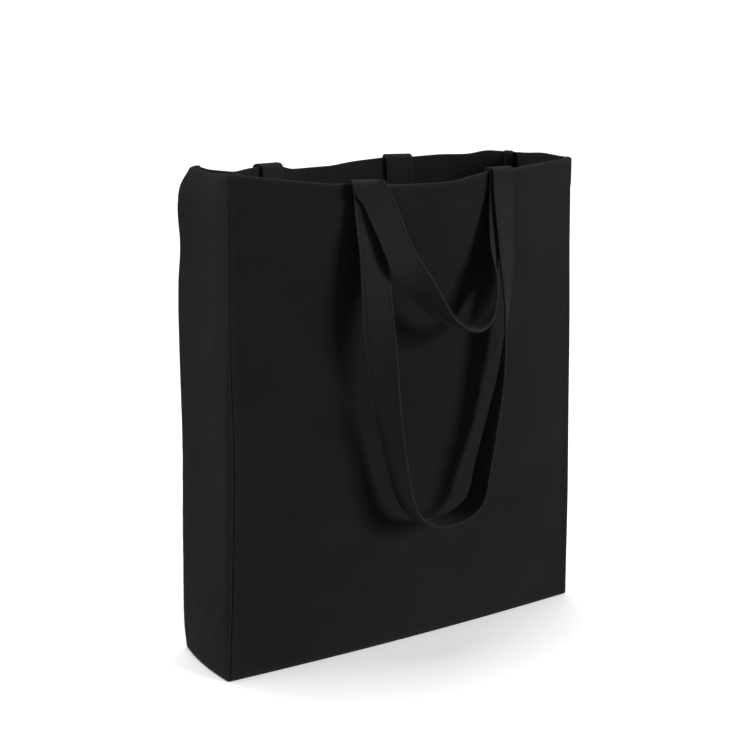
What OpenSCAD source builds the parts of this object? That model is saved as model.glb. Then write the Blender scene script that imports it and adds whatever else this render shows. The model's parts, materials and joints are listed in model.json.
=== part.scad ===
// Canvas tote bag with side gussets, a turned hem and two pairs of handles.
// Frame: origin on the ground under the middle of the base, +X along the wide
// faces, front face towards -Y, +Z up. Millimetres.

/* [Bag] */
// Width of the base, along X
bag_w = 360; // [300:5:420]
// Depth of the base, along Y
bag_d = 83; // [70:1:110]
// Height at the four top corners
bag_h = 416; // [360:2:460]
// Depth of the side gussets at the rim
top_d = 78; // [66:1:100]
// How far each top corner has come inboard of the base corner
top_inset = 11; // [6:0.5:16]
// How far the front face stands out at the middle of its rim
front_bulge = 43; // [30:1:55]
// How far the back face stands out at the middle of its rim
back_bulge = 56; // [30:1:60]
// How far the rim dips between its corners
rim_dip = 7; // [4:0.5:8]

/* [Cloth] */
// Thickness of one layer of canvas
cloth_t = 1.2; // [1:0.1:1.6]
// Thickness of the turned and sewn hem
hem_t = 2.4; // [2:0.1:2.8]
// Depth of the hem
hem_h = 29; // [24:1:36]
// Width of gusset cloth that wraps onto each wide face
wrap_w = 8; // [6:0.5:12]
// Gap left in the model along a seam
seam_gap = 0.5; // [0.4:0.05:0.8]
// Gap left in the model between layers that lie on each other
layer_gap = 0.2; // [0.1:0.05:0.3]

/* [Handles] */
// Width of the straps
strap_w = 25; // [22:0.5:28]
// Thickness of the folded and sewn straps
strap_t = 1.8; // [1.5:0.1:2]
// Distance between the middles of the two feet of a handle
foot_pitch = 128; // [120:1:136]
// Length of strap sewn down inside the hem
sewn_len = 26; // [20:1:28]
// Thickness of a strap where it is pressed over the rim
fold_t = 1.2; // [1:0.1:1.4]

/* [Stitching] */
// Width of a line of stitches
stitch_w = 0.6; // [0.4:0.1:1]
// How far the stitches stand proud of the cloth
stitch_t = 0.25; // [0.15:0.05:0.3]

/* [Hidden] */

canvas = [0.16, 0.16, 0.17];
gusset_canvas = [0.2, 0.2, 0.21];
strap_cloth = [0.26, 0.26, 0.27];
thread = [0.4, 0.4, 0.42];

front = -1;
back = 1;
left = -1;
right = 1;

// How fast the faces fill out with height; 1 would be a straight cone
bulge_rise = 0.8;
face_columns = 32;
body_rows = 12;
stitch_stand = 0.15;

// The hinge line of each pair of handles lies over the middle of the hem, this far
// above the strap ends that are folded there
hinge_clear = 0.3;
axis_lift = 2 * (fold_t + layer_gap) + hinge_clear;
foot_x = foot_pitch / 2;
front_axis_y = -(face_y(1, foot_x, front) - hem_t / 2);
back_axis_y = face_y(1, foot_x, back) - hem_t / 2;
axis_z = rim_z(foot_x + strap_w / 2) + axis_lift;

// Clearance between the two handles where one lies on the other
handle_gap = 0.5;
// Distance outwards from the hinge line of the inner and outer strap layers
layer_in = 5.6;
layer_out = layer_in + strap_t + handle_gap;
spline_steps = 5;

// Routes of the loops: x, distance out from the hinge line, drop below it, twist.
// A twist of 0 lies flat against the face; at 90 the strap stands on its edge.
long_route = [
    [-foot_x, layer_in, 0, 0], [-67, 7.5, 31.5, 0], [-67.5, 13, 64.5, 0], [-66, 18.6, 122, 28],
    [-57, 15.8, 182, 60], [-45, 12.6, 235.5, 76], [-32.5, 10.8, 274, 86],
    [-14.5, 9.6, 291.5, 90], [6, 9, 295, 90], [25.5, 9.3, 290.5, 90], [38.5, 9.8, 278.5, 88],
    [44.5, 10.3, 252, 86], [52.5, 11.5, 214, 76], [60, 13.6, 168, 62], [63.5, 14, 113.5, 44],
    [63.5, 13.4, 65.5, 22], [63, 10.8, 29.5, 6], [foot_x, layer_out, 0, 0]
];
short_route = [
    [-foot_x, layer_out, 0, 0], [-65, 12, 25, 0], [-56, 19.5, 52, 0], [-48, 23, 65, 4],
    [-37.5, 26, 82, 32], [-24, 29, 100, 60], [-9.5, 30.5, 116, 80], [9.5, 30, 125, 90],
    [25, 27.5, 122.5, 90], [35.5, 25, 109.5, 84], [44, 20, 89.5, 68], [52.5, 12, 65, 32],
    [59, 7.8, 31.5, 6], [foot_x, layer_in, 0, 0]
];

// ---- Shape of the bag ----

// Half length of a wide face at a fraction u of the height
function half_len(u) = bag_w / 2 - top_inset * u;
// Half depth of the gussets at a fraction u of the height
function half_depth(u) = bag_d / 2 - (bag_d - top_d) / 2 * u;
function bulge_of(side) = side == front ? front_bulge : back_bulge;
// Distance of the outside of a wide face from the middle plane
function face_y(u, x, side) =
    half_depth(u) + bulge_of(side) * pow(u, bulge_rise) * (1 - pow(x / half_len(u), 2));
// Height of the rim
function rim_z(x) = bag_h - rim_dip * (1 - pow(x / half_len(1), 2));
// A point on the outside of a wide face
function face_point(u, x, side) = [x, side * face_y(u, x, side), u * rim_z(x)];

// Heights of the rows of every upright piece: even below the hem, then the hem
hem_u = 1 - hem_h / bag_h;
// Fraction of the height over which one layer turns into the hem
hem_step = 0.004;
// Above 1 the rows lie closer together near the base
row_growth = 1.2;
rows = concat(
    [for (i = [0 : body_rows]) pow(i / body_rows, row_growth) * (hem_u - hem_step)],
    [hem_u, (1 + hem_u) / 2, 1]
);
function layer_t(u) = u < hem_u - hem_step / 2 ? cloth_t : hem_t;

// ---- Building blocks ----

function unit(v) = v / norm(v);
function bezier(a, b, c, t) = (1 - t) * (1 - t) * a + 2 * t * (1 - t) * b + t * t * c;

// Solid between two equal grids of points, the first one outside
module shell_between(outer, inner) {
    n = len(outer);
    m = len(outer[0]);
    points = [for (g = [outer, inner]) for (row = g) for (p = row) p];
    function at(g, i, j) = g * n * m + i * m + j;
    faces = concat(
        [for (i = [0 : n - 2]) for (j = [0 : m - 2])
            each [[at(0, i, j), at(0, i + 1, j), at(0, i + 1, j + 1)],
                  [at(0, i, j), at(0, i + 1, j + 1), at(0, i, j + 1)],
                  [at(1, i, j), at(1, i + 1, j + 1), at(1, i + 1, j)],
                  [at(1, i, j), at(1, i, j + 1), at(1, i + 1, j + 1)]]],
        [for (j = [0 : m - 2])
            each [[at(0, 0, j), at(0, 0, j + 1), at(1, 0, j)],
                  [at(0, 0, j + 1), at(1, 0, j + 1), at(1, 0, j)],
                  [at(0, n - 1, j + 1), at(0, n - 1, j), at(1, n - 1, j)],
                  [at(0, n - 1, j + 1), at(1, n - 1, j), at(1, n - 1, j + 1)]]],
        [for (i = [0 : n - 2])
            each [[at(0, i + 1, 0), at(0, i, 0), at(1, i, 0)],
                  [at(0, i + 1, 0), at(1, i, 0), at(1, i + 1, 0)],
                  [at(0, i, m - 1), at(0, i + 1, m - 1), at(1, i, m - 1)],
                  [at(0, i + 1, m - 1), at(1, i + 1, m - 1), at(1, i, m - 1)]]]
    );
    polyhedron(points = points, faces = faces, convexity = 6);
}

// Moves each point of a level row inwards, square to the row, by a distance.
// The row runs so that the outside is on its right.
function inset_row(row, dist) = [
    for (j = [0 : len(row) - 1])
        let (a = row[max(j - 1, 0)], b = row[min(j + 1, len(row) - 1)])
        let (d = unit([b[0] - a[0], b[1] - a[1]]))
        row[j] + dist * [-d[1], d[0], 0]
];

// Upright cloth piece from its outer rows
module cloth(outer) {
    inner = [for (i = [0 : len(outer) - 1]) inset_row(outer[i], layer_t(rows[i]))];
    shell_between(outer, inner);
}

// ---- Panels ----

function seam_x(u) = half_len(u) - wrap_w;

// Row of a wide face, seam to seam, with the outside on the right
function face_row(u, side) =
    let (end = seam_x(u) - seam_gap / 2)
    [for (j = [0 : face_columns])
        face_point(u, -side * end * (2 * j / face_columns - 1), side)];

module wide_panel(side) {
    cloth([for (u = rows) face_row(u, side)]);
}

// How far the soft corners reach onto the gusset, as a share of the wrap
corner_share = 0.9;

// Row of a gusset: from one wide face round two soft corners to the other
function gusset_row(u, hand) =
    let (
        x0 = seam_x(u) + seam_gap / 2,
        x1 = half_len(u),
        reach = wrap_w * corner_share,
        f0 = [hand * x0, -face_y(u, x0, front)],
        f1 = [hand * x1, -half_depth(u)],
        f2 = [hand * x1, -half_depth(u) + reach],
        b0 = [hand * x0, face_y(u, x0, back)],
        b1 = [hand * x1, half_depth(u)],
        b2 = [hand * x1, half_depth(u) - reach],
        flat_steps = 4,
        from_front = concat(
            [for (t = [0 : 0.25 : 1]) bezier(f0, f1, f2, t)],
            [for (k = [1 : flat_steps - 1]) f2 + (b2 - f2) * k / flat_steps],
            [for (t = [1 : -0.25 : 0]) bezier(b0, b1, b2, t)]
        ),
        level = [for (p = from_front) [p[0], p[1], u * rim_z(p[0])]]
    )
    hand == right ? level : [for (k = [len(level) - 1 : -1 : 0]) level[k]];

module gusset(hand) {
    cloth([for (u = rows) gusset_row(u, hand)]);
}

module front_panel() {
    color(canvas) wide_panel(front);
}

module back_panel() {
    color(canvas) wide_panel(back);
}

module left_gusset() {
    color(gusset_canvas) gusset(left);
}

module right_gusset() {
    color(gusset_canvas) gusset(right);
}

// The base lies between the walls and carries the flat face that the bag stands on
module bottom_panel() {
    base_w = bag_w - 2 * (cloth_t + seam_gap);
    base_d = bag_d - 2 * (cloth_t + seam_gap);
    corner_r = wrap_w - cloth_t;
    color(canvas)
    linear_extrude(cloth_t) {
        square([base_w - 2 * corner_r, base_d], center = true);
        square([base_w, base_d - 2 * corner_r], center = true);
        for (sx = [-1, 1])
            for (sy = [-1, 1])
                translate([sx * (base_w / 2 - corner_r), sy * (base_d / 2 - corner_r)])
                    circle(corner_r, $fn = 32);
    }
}

// ---- Handles ----

// Catmull-Rom value between p1 and p2
function spline(p0, p1, p2, p3, t) =
    0.5 * (2 * p1 + (p2 - p0) * t + (2 * p0 - 5 * p1 + 4 * p2 - p3) * t * t
        + (3 * p1 - p0 - 3 * p2 + p3) * t * t * t);

function smooth_route(route) =
    let (n = len(route) - 1)
    concat(
        [for (i = [0 : n - 1]) for (k = [0 : spline_steps - 1])
            spline(route[max(i - 1, 0)], route[i], route[i + 1], route[min(i + 2, n)],
                k / spline_steps)],
        [route[n]]
    );

// The four corners of the strap's cross-section at a station of a route,
// in the frame of the hinge line: x, outwards, up
function station(route, i) =
    let (
        p = route[i],
        end = len(route) - 1,
        a = route[max(i - 1, 0)],
        b = route[min(i + 1, end)],
        t = i == 0 ? [0, 1] : i == end ? [0, -1] : unit([b[0] - a[0], b[2] - a[2]]),
        twist = p[3],
        mid = [p[0], p[1], -p[2]],
        across = [t[1] * cos(twist), sin(twist), t[0] * cos(twist)],
        normal = [-t[1] * sin(twist), cos(twist), -t[0] * sin(twist)]
    )
    [for (c = [[1, -1], [1, 1], [-1, 1], [-1, -1]])
        mid + across * c[0] * strap_w / 2 + normal * c[1] * strap_t / 2];

// Closed ribbon through stations of four corners each
module ribbon(stations) {
    n = len(stations);
    points = [for (s = stations) for (p = s) p];
    faces = concat(
        [[3, 2, 1, 0]],
        [for (i = [0 : n - 2]) for (k = [0 : 3])
            each [[4 * i + k, 4 * i + (k + 1) % 4, 4 * (i + 1) + (k + 1) % 4],
                  [4 * i + k, 4 * (i + 1) + (k + 1) % 4, 4 * (i + 1) + k]]],
        [[4 * n - 4, 4 * n - 3, 4 * n - 2, 4 * n - 1]]
    );
    polyhedron(points = points, faces = faces, convexity = 8);
}

module loop(route) {
    way = smooth_route(route);
    ribbon([for (i = [0 : len(way) - 1]) station(way, i)]);
}

// Puts a shape made round the hinge line at the front or the back of the bag
module on_hinge(side) {
    turn = side == front ? 0 : 180;
    y = side == front ? front_axis_y : back_axis_y;
    translate([0, y, axis_z]) rotate([0, 0, turn]) mirror([0, 1, 0]) children();
}

module front_long_handle() {
    color(strap_cloth) on_hinge(front) loop(long_route);
}

module front_short_handle() {
    color(strap_cloth) on_hinge(front) loop(short_route);
}

module back_long_handle() {
    color(strap_cloth) on_hinge(back) loop(long_route);
}

module back_short_handle() {
    color(strap_cloth) on_hinge(back) loop(short_route);
}

// ---- Sewn ends of the straps ----

// A point near the rim at one foot of a handle: s runs across the strap with the
// outside of the bag on the right, h is the height over the rim, and depth goes
// inwards from the outside of the cloth.
function foot_point(side, hand, s, h, depth) =
    let (
        x = hand * foot_x - side * s,
        z = rim_z(x) + h,
        u = z / rim_z(x),
        y = face_y(u, x, side),
        slope = (face_y(u, x + 0.5, side) - face_y(u, x - 0.5, side)),
        outwards = unit([-slope, side])
    )
    [x - depth * outwards[0], side * y - depth * outwards[1], z];

// Solid at a foot between two lines of [depth, height], across part of the strap
module foot_sweep(side, hand, hem_side, bag_side) {
    steps = 4;
    grids = [for (line = [hem_side, bag_side])
        [for (q = line)
            [for (j = [0 : steps])
                foot_point(side, hand, strap_w * (j / steps - 0.5), q[1], q[0])]]];
    shell_between(grids[0], grids[1]);
}

// Both ends of one strap: sewn down inside the hem and turned over the rim. The strap
// with outer_foot lies on the other one there, and under it at the other foot.
module strap_ends(side, outer_foot) {
    for (hand = [left, right]) {
        layer = hand == outer_foot ? 1 : 0;
        tab_d = hem_t + layer_gap + layer * (strap_t + layer_gap);
        fold_h = layer_gap + layer * (fold_t + layer_gap);
        far_d = tab_d + strap_t;
        far_h = fold_h + fold_t;
        foot_sweep(side, hand,
            [[tab_d, -sewn_len], [tab_d, -sewn_len / 2], [tab_d, fold_h], [0, fold_h]],
            [[far_d, -sewn_len], [far_d, -sewn_len / 2], [far_d, far_h], [0, far_h]]);
    }
}

module front_long_strap_ends() {
    color(strap_cloth) strap_ends(front, right);
}

module front_short_strap_ends() {
    color(strap_cloth) strap_ends(front, left);
}

module back_long_strap_ends() {
    color(strap_cloth) strap_ends(back, left);
}

module back_short_strap_ends() {
    color(strap_cloth) strap_ends(back, right);
}

// ---- Stitching ----

// Line of stitches that stands on the outside of two rows of points
module stitch_band(low, high) {
    shell_between(
        [inset_row(low, -stitch_stand - stitch_t), inset_row(high, -stitch_stand - stitch_t)],
        [inset_row(low, -stitch_stand), inset_row(high, -stitch_stand)]
    );
}

// The line round the bag that holds the hem
module hem_stitching() {
    u0 = hem_u;
    u1 = hem_u + stitch_w / bag_h;
    color(thread) {
        for (side = [front, back])
            stitch_band(face_row(u0, side), face_row(u1, side));
        for (hand = [left, right])
            stitch_band(gusset_row(u0, hand), gusset_row(u1, hand));
    }
}

// The line round the base, inside the bag
module base_stitching() {
    margin = 6;
    base_w = bag_w - 2 * (cloth_t + seam_gap + margin);
    base_d = bag_d - 2 * (cloth_t + seam_gap + margin);
    color(thread)
    translate([0, 0, cloth_t + stitch_stand])
        linear_extrude(stitch_t)
            difference() {
                square([base_w, base_d], center = true);
                square([base_w - 2 * stitch_w, base_d - 2 * stitch_w], center = true);
            }
}

// Upright line on a wide face, beside the seam and up to the hem line
module seam_stitching(side, hand) {
    from_seam = 5;
    start_u = 0.01;
    stop_u = hem_u - 0.006;
    levels = [for (i = [0 : body_rows]) start_u + (stop_u - start_u) * i / body_rows];
    x_at = function (u) hand * (seam_x(u) - from_seam);
    rows_at = [for (u = levels)
        [face_point(u, x_at(u) + side * stitch_w / 2, side),
         face_point(u, x_at(u) - side * stitch_w / 2, side)]];
    color(thread)
    shell_between(
        [for (row = rows_at) inset_row(row, -stitch_stand - stitch_t)],
        [for (row = rows_at) inset_row(row, -stitch_stand)]
    );
}

module front_left_seam_stitching() {
    seam_stitching(front, left);
}

module front_right_seam_stitching() {
    seam_stitching(front, right);
}

module back_left_seam_stitching() {
    seam_stitching(back, left);
}

module back_right_seam_stitching() {
    seam_stitching(back, right);
}

// Box and cross sewn through both strap ends, seen inside the bag
module foot_stitching(side, hand) {
    half = strap_w / 2 - 3;
    high = -4;
    low = 3 - sewn_len;
    mid = (high + low) / 2;
    trim = 1.5 * stitch_w;
    depth = hem_t + 2 * (layer_gap + strap_t) + stitch_stand;
    lines = [
        [[-half, low], [half, low]], [[-half, high], [half, high]],
        [[-half, low], [-half, high]], [[half, low], [half, high]],
        [[-half, low], [half, high]], [[half, low], [0, mid]], [[-half, high], [0, mid]]
    ];
    steps = 4;
    color(thread)
    for (line = lines) {
        along = unit(line[1] - line[0]);
        up = [-along[1], along[0]] * stitch_w / 2;
        a = line[0] + along * trim;
        b = line[1] - along * trim;
        grids = [for (d = [depth, depth + stitch_t])
            [for (e = [-1, 1])
                [for (k = [0 : steps])
                    let (q = a + (b - a) * k / steps + e * up)
                    foot_point(side, hand, q[0], q[1], d)]]];
        shell_between(grids[0], grids[1]);
    }
}

module front_left_foot_stitching() {
    foot_stitching(front, left);
}

module front_right_foot_stitching() {
    foot_stitching(front, right);
}

module back_left_foot_stitching() {
    foot_stitching(back, left);
}

module back_right_foot_stitching() {
    foot_stitching(back, right);
}

front_panel();
back_panel();
bottom_panel();
left_gusset();
right_gusset();
front_long_handle();
front_short_handle();
back_long_handle();
back_short_handle();
front_long_strap_ends();
front_short_strap_ends();
back_long_strap_ends();
back_short_strap_ends();
hem_stitching();
base_stitching();
front_left_seam_stitching();
front_right_seam_stitching();
back_left_seam_stitching();
back_right_seam_stitching();
front_left_foot_stitching();
front_right_foot_stitching();
back_left_foot_stitching();
back_right_foot_stitching();
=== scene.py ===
"""Canvas tote bag: the finished look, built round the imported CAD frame. Shapes are worked out
in millimetres in the CAD's own frame and turned into metres when a mesh is made."""
import json
import math

import bpy
import numpy as np
from mathutils import Matrix, Vector


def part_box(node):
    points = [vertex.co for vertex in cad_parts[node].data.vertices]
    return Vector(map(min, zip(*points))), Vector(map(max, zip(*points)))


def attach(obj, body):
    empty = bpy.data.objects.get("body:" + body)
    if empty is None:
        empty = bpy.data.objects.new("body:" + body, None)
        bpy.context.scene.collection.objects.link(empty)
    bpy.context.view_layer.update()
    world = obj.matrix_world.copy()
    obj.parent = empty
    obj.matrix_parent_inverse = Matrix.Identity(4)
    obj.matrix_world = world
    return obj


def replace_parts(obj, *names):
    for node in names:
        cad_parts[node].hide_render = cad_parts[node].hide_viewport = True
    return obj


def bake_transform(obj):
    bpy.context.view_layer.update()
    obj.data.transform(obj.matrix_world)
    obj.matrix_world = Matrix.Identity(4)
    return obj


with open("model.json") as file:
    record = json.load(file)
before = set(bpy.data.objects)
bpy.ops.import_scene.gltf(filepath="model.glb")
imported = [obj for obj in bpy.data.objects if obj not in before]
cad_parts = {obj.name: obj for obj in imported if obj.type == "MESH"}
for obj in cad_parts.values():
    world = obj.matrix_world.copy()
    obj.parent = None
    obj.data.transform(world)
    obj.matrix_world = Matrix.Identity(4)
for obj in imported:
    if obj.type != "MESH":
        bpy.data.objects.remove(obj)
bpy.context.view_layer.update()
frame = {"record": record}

MM = 0.001
FRONT, BACK = -1, 1
LEFT, RIGHT = -1, 1


# ---- Camera ----

CAMERA_TURN, CAMERA_TIP, CAMERA_ROLL = -32.164, 13.455, 0.147   # degrees
CAMERA_PLACE = (-0.62372, -0.97308, 0.50667)
CAMERA_SENSOR, CAMERA_LENS = 36, 64.9


def make_camera():
    """The camera of the catalogue view: turned, tipped and rolled by these angles."""
    turn, tip, roll = (math.radians(a) for a in (CAMERA_TURN, CAMERA_TIP, CAMERA_ROLL))
    back = Vector((math.sin(turn) * math.cos(tip), -math.cos(turn) * math.cos(tip), math.sin(tip)))
    side = Vector((math.cos(turn), math.sin(turn), 0))
    up = back.cross(side)
    side, up = (math.cos(roll) * side + math.sin(roll) * up,
                math.cos(roll) * up - math.sin(roll) * side)
    camera = bpy.data.objects.new("camera", bpy.data.cameras.new("camera"))
    camera.data.sensor_width = CAMERA_SENSOR
    camera.data.lens = CAMERA_LENS
    camera.matrix_world = Matrix.LocRotScale(
        Vector(CAMERA_PLACE), Matrix((side, up, back)).transposed().to_quaternion(), None)
    bpy.context.collection.objects.link(camera)
    bpy.context.scene.camera = camera


make_camera()


# ---- Sizes, from the CAD boxes ----

def box_mm(node):
    return [np.array(corner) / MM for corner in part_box(node)]


HALF_W = box_mm("right_gusset")[1][0]          # half length of the base
HEIGHT = box_mm("right_gusset")[1][2]          # height of the top corners
BASE_GAP = 1.7                                 # from the base panel to the outside of the walls
HALF_D = box_mm("bottom_panel")[1][1] + BASE_GAP
TOP_HALF_D = 39.0                              # half depth of the gussets at the rim
TOP_INSET = 11.0                               # how far the top corners have come inboard
BULGE = {FRONT: -box_mm("front_panel")[0][1] - TOP_HALF_D,
         BACK: box_mm("back_panel")[1][1] - TOP_HALF_D}
BULGE_RISE = 0.8
RIM_DIP = 7.0
CLOTH = 1.2
HEM = 2.4
HEM_LINE = HEIGHT - 24.5                       # level of the stitches that hold the hem
HEM_EDGE = HEM_LINE - 2.5                      # level of the hem's inner edge
CURL = 2.2                                     # radius of the bottom edges
ROLL = 1.0                                     # radius of a cloth edge turned in at a seam
SEAM_HALF_GAP = 0.012
TOPSTITCH = 4.6                                # distance of the topstitching from its seam
FLOOR_GAP = 0.02                               # the lowest that the walls' cloth reaches
BASE_LIFT = 0.05                               # the lowest that the base's cloth reaches
FACE_COLUMNS, GUSSET_COLUMNS = 86, 26          # steps of a wall between its fine edges
BASE_COLUMNS, BASE_ROWS = 70, 12

FOOT_X = 64.0
# Where the two feet of each pair really are, at the first and the last end of their routes
FEET = {FRONT: (-67.0, 60.5), BACK: (-66.5, 68.5)}
STRAP_W = 25.0
STRAP_T = 1.8
EDGE_STITCH = 9.9                              # distance of a strap's stitches from its middle
TAB_LEN = 26.0                                 # how far a sewn end reaches down in the hem
HEM_CLEAR = 0.6                                # from the hem to the inner sewn end
LAYER_GAP = 0.15                               # between two sewn ends
JUNCTION = 15.0                                # drop at which a sewn end hands over to its loop
BOX_HALF, BOX_TOP = 9.0, -6.0                  # the sewn box: half its width, its upper line
BOX_FOOT = 3 - TAB_LEN                         # its lower line

HINGES = {j["name"]: [c / MM for c in j["pos_m"]]
          for j in frame["record"]["behaviour"]["joints"]}


# ---- Small tools ----

def smoothstep(low, high, value):
    t = np.clip((value - low) / (high - low), 0, 1)
    return t * t * (3 - 2 * t)


def unit(v):
    return v / np.maximum(np.linalg.norm(v, axis=-1, keepdims=True), 1e-12)


def soft_line(keys, blur):
    """A function through round keys, softened over a length of about blur."""
    where, what = np.array(keys, float).T
    fine = np.linspace(where[0] - 4 * blur, where[-1] + 4 * blur, 1200)
    raw = np.interp(fine, where, what)
    step = fine[1] - fine[0]
    reach = int(3 * blur / step) + 1
    kernel = np.exp(-0.5 * (np.arange(-reach, reach + 1) * step / blur) ** 2)
    padded = np.pad(raw, reach, mode="edge")
    soft = np.convolve(padded, kernel / kernel.sum(), mode="valid")
    return lambda value: np.interp(value, fine, soft)


def ripples(seed, a, b, size, shortest, longest, count=9):
    """Gentle unevenness over coordinates in millimetres, about size high."""
    draw = np.random.default_rng(seed)
    total = np.zeros(np.broadcast(a, b).shape)
    for _ in range(count):
        length = shortest * (longest / shortest) ** draw.random()
        way = draw.random() * math.tau
        phase = draw.random() * math.tau
        total += (length / longest) ** 0.6 * np.sin(
            math.tau * (a * math.cos(way) + b * math.sin(way)) / length + phase)
    return size * total / math.sqrt(count / 2)


def crease(a, b, start, end, high, wide):
    """A soft ridge (or, with high below zero, a fold) along a line from start to end."""
    start, end = np.array(start, float), np.array(end, float)
    length = np.linalg.norm(end - start)
    along = (end - start) / length
    s = (a - start[0]) * along[0] + (b - start[1]) * along[1]
    off = (b - start[1]) * along[0] - (a - start[0]) * along[1]
    fade = smoothstep(-0.15 * length, 0.25 * length, s) * smoothstep(1.1 * length, 0.5 * length, s)
    return high * fade * (np.exp(-(off / wide) ** 2)
                          - 0.45 * np.exp(-((off - 1.9 * wide) / (1.3 * wide)) ** 2))


# ---- Meshes ----

def make_object(name, points, faces, uvs=None, wear_and_highlight=None, sharp=50):
    """Mesh object from points in millimetres, with cloth coordinates in metres per point."""
    mesh = bpy.data.meshes.new(name)
    mesh.from_pydata((np.asarray(points) * MM).tolist(), [], [list(map(int, f)) for f in faces])
    if uvs is not None:
        layer = mesh.uv_layers.new(name="cloth")
        corners = np.empty(len(mesh.loops), np.int32)
        mesh.loops.foreach_get("vertex_index", corners)
        layer.data.foreach_set("uv", (np.asarray(uvs)[corners] * MM).astype(np.float32).ravel())
    # A per-point mask of rubbed wear and painted highlight, which lightens the cloth's colour
    if wear_and_highlight is not None:
        layer = mesh.attributes.new("wear_and_highlight", "FLOAT", "POINT")
        layer.data.foreach_set("value", np.asarray(wear_and_highlight, np.float32).ravel())
    mesh.shade_smooth()
    mesh.set_sharp_from_angle(angle=math.radians(sharp))
    obj = bpy.data.objects.new(name, mesh)
    bpy.context.collection.objects.link(obj)
    return obj


def loft(rings, capped=True):
    """Faces of a tube through equal closed rings, laid out ring by ring."""
    n, k = rings.shape[:2]
    a = np.arange(n - 1)[:, None] * k + np.arange(k)[None]
    b = np.arange(n - 1)[:, None] * k + (np.arange(k)[None] + 1) % k
    faces = np.stack([a, b, b + k, a + k], -1).reshape(-1, 4).tolist()
    if capped:
        half = k // 2
        for first, order in ((0, 1), ((n - 1) * k, -1)):
            for i in range(half - 1):
                quad = [first + i, first + k - 1 - i, first + k - 2 - i, first + i + 1]
                faces.append(quad[::order])
    return faces


def normals_of(grid, outward):
    """Unit normals of a grid of points, turned so that they face outward at its middle."""
    n = unit(np.cross(np.gradient(grid, axis=0), np.gradient(grid, axis=1)))
    middle = n[n.shape[0] // 2, n.shape[1] // 2]
    return n if middle @ np.asarray(outward, float) > 0 else -n


def sheet_object(name, outer, inner, across, along, wear_and_highlight):
    """Closed sheet of cloth: the outside grid, a rounded top edge and the inside."""
    rows, columns = outer.shape[:2]
    top_mid = (outer[-1] + inner[-1]) / 2
    half = (outer[-1] - inner[-1]) / 2
    rise = unit(outer[-1] - outer[-2]) * np.linalg.norm(half, axis=1)[:, None]
    turns = np.radians(np.arange(22.5, 180, 22.5))
    cap = [top_mid + half * math.cos(a) + rise * math.sin(a) for a in turns]
    ring = np.concatenate([outer, np.array(cap), inner[::-1]])
    size = len(ring)
    v = np.concatenate([along, along[-1] + 0.6 * np.arange(1, len(cap) + 1),
                        2 * along[-1] + 0.6 * (len(cap) + 1) - along[::-1]])
    uv = np.stack(np.broadcast_arrays(across[None], v[:, None]), -1)
    # The rounded top edge is lightened in full as a painted highlight; the inside takes a third of
    # the outside's mask
    edge = np.concatenate([wear_and_highlight, np.full((len(cap), columns), 1.0), 0.3 * wear_and_highlight[::-1]])
    points = ring.transpose(1, 0, 2).reshape(-1, 3)
    return make_object(name, points, loft(np.empty((columns, size))),
                       uv.transpose(1, 0, 2).reshape(-1, 2), edge.T.ravel())


# ---- The walls of the bag ----

SEAM_STEPS = np.array([0, 0.12, 0.3, 0.55, 0.85, 1.2, 1.7, 2.3, 3.0, 3.7, 4.2, 4.6, 5.0, 5.5,
                       6.1, 6.9, 8.0, 9.4, 11.5, 14.5, 19])

CURL_LEVELS = CURL * (1 - np.cos(np.radians(np.linspace(0, 90, 8))))
LEVELS = np.concatenate([
    CURL_LEVELS, np.arange(6, HEM_EDGE - 5, 3.6),
    HEM_EDGE + np.array([-3.4, -1.8, -0.9, -0.4, 0, 0.4, 0.9]),
    HEM_LINE + np.array([-1.2, -0.8, -0.4, 0, 0.4, 0.8, 1.2, 1.8, 2.6, 3.6]),
    np.arange(HEM_LINE + 5.5, HEIGHT - HEM / 2 - 1.5, 2.4), [HEIGHT - HEM / 2]])
HEM_ROW = int(np.argmin(np.abs(LEVELS - HEM_LINE)))
CURL_INSET = CURL - np.sqrt(np.clip(CURL ** 2 - np.clip(CURL - LEVELS, 0, CURL) ** 2, 0, None))

# How far the seam has wandered from the corner onto the wide face, by level
SEAM_WANDER = soft_line([(0, 1.6), (60, 3.4), (110, 4.2), (200, 4.6), (250, 2.6), (290, 1.3),
                         (HEIGHT, 1.0)], 14)

# True height of the rim along x; the bag's two wide faces are not alike
RIM = {
    FRONT: soft_line([(-170, 416), (-145, 413), (-95, 407), (-65, 407), (-45, 405), (0, 405),
                      (15, 406), (35, 410), (50, 412), (75, 412), (100, 414), (170, 416)], 4),
    BACK: soft_line([(-170, 416), (-160, 417), (-150, 413), (-110, 407), (-90, 409), (-55, 409),
                     (-45, 405), (0, 406), (20, 409), (55, 412), (80, 412), (105, 414),
                     (130, 414), (145, 418), (155, 417), (170, 416)], 4),
}


# How far each upright edge has sagged outwards, by level
SAG = {
    (FRONT, LEFT): soft_line([(0, 0), (HEIGHT, 0)], 10),
    (FRONT, RIGHT): soft_line([(0, 0), (60, 1.4), (100, 2.2), (200, 2), (250, 1.4), (330, 0),
                               (400, 0), (HEIGHT, 0.8)], 12),
    (BACK, LEFT): soft_line([(0, 0), (20, 2.4), (40, 3.2), (110, 4.2), (180, 4.2), (250, 5.5),
                             (300, 6.2), (325, 6), (345, 4.5), (358, 4.5), (375, 6.2),
                             (388, 6.5), (402, 4.2), (HEIGHT, -5)], 4),
    (BACK, RIGHT): soft_line([(0, 0), (80, 1.5), (200, 2.6), (300, 3.2), (390, 3.4),
                              (HEIGHT, -1)], 8),
}
SAG_X, SAG_Y = 0.95, 0.37                      # the way it goes along x and along y
SAG_REACH = 75                                 # how far it spreads over a wide face
# How far the middle of each bottom edge bows out, and the level at which that ends
WALL_BOW = {FRONT: 5.0, BACK: 3.0}
GUSSET_BOW = {LEFT: 3.5, RIGHT: 2.5}
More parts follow.
